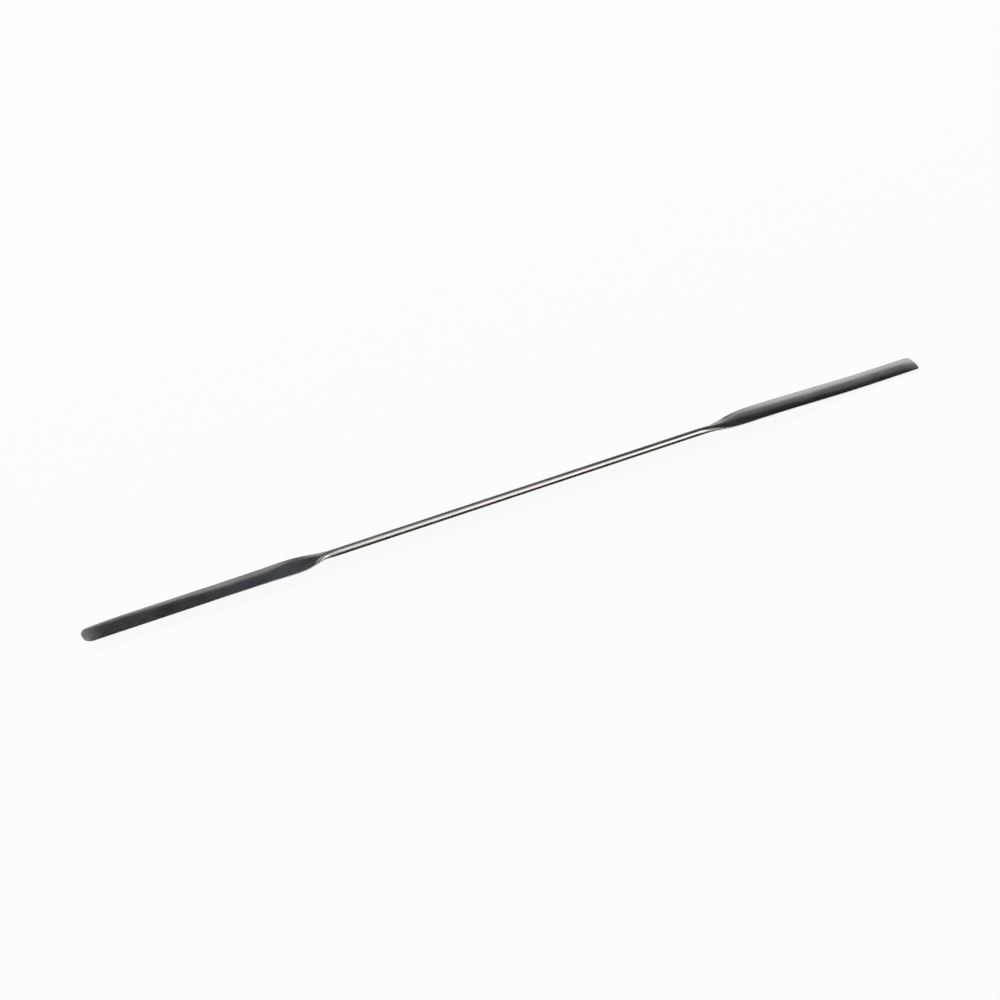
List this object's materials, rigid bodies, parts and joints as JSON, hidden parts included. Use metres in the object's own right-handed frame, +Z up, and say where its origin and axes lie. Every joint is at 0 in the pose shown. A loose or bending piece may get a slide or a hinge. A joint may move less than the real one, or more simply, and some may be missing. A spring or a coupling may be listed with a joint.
{
  "type": "lab spatula",
  "caption": "Double-ended micro spatula: a thin round steel wire hammered flat at both ends into long narrow blades, for lifting and moving small amounts of powder.",
  "frame": {"origin": "on the table, below the middle of the tool's length, at the centre of the bottom of the bounding box", "axes": "+X along the shank towards the bent-down blade with the squarer tip, +Y across the blades, +Z up from the table"},
  "size_m": [0.2, 0.005, 0.0016],
  "materials": {
    "polished_steel": "polished"
  },
  "bodies": {
    "root": {"spatula": "polished_steel"}
  },
  "joints": []
}
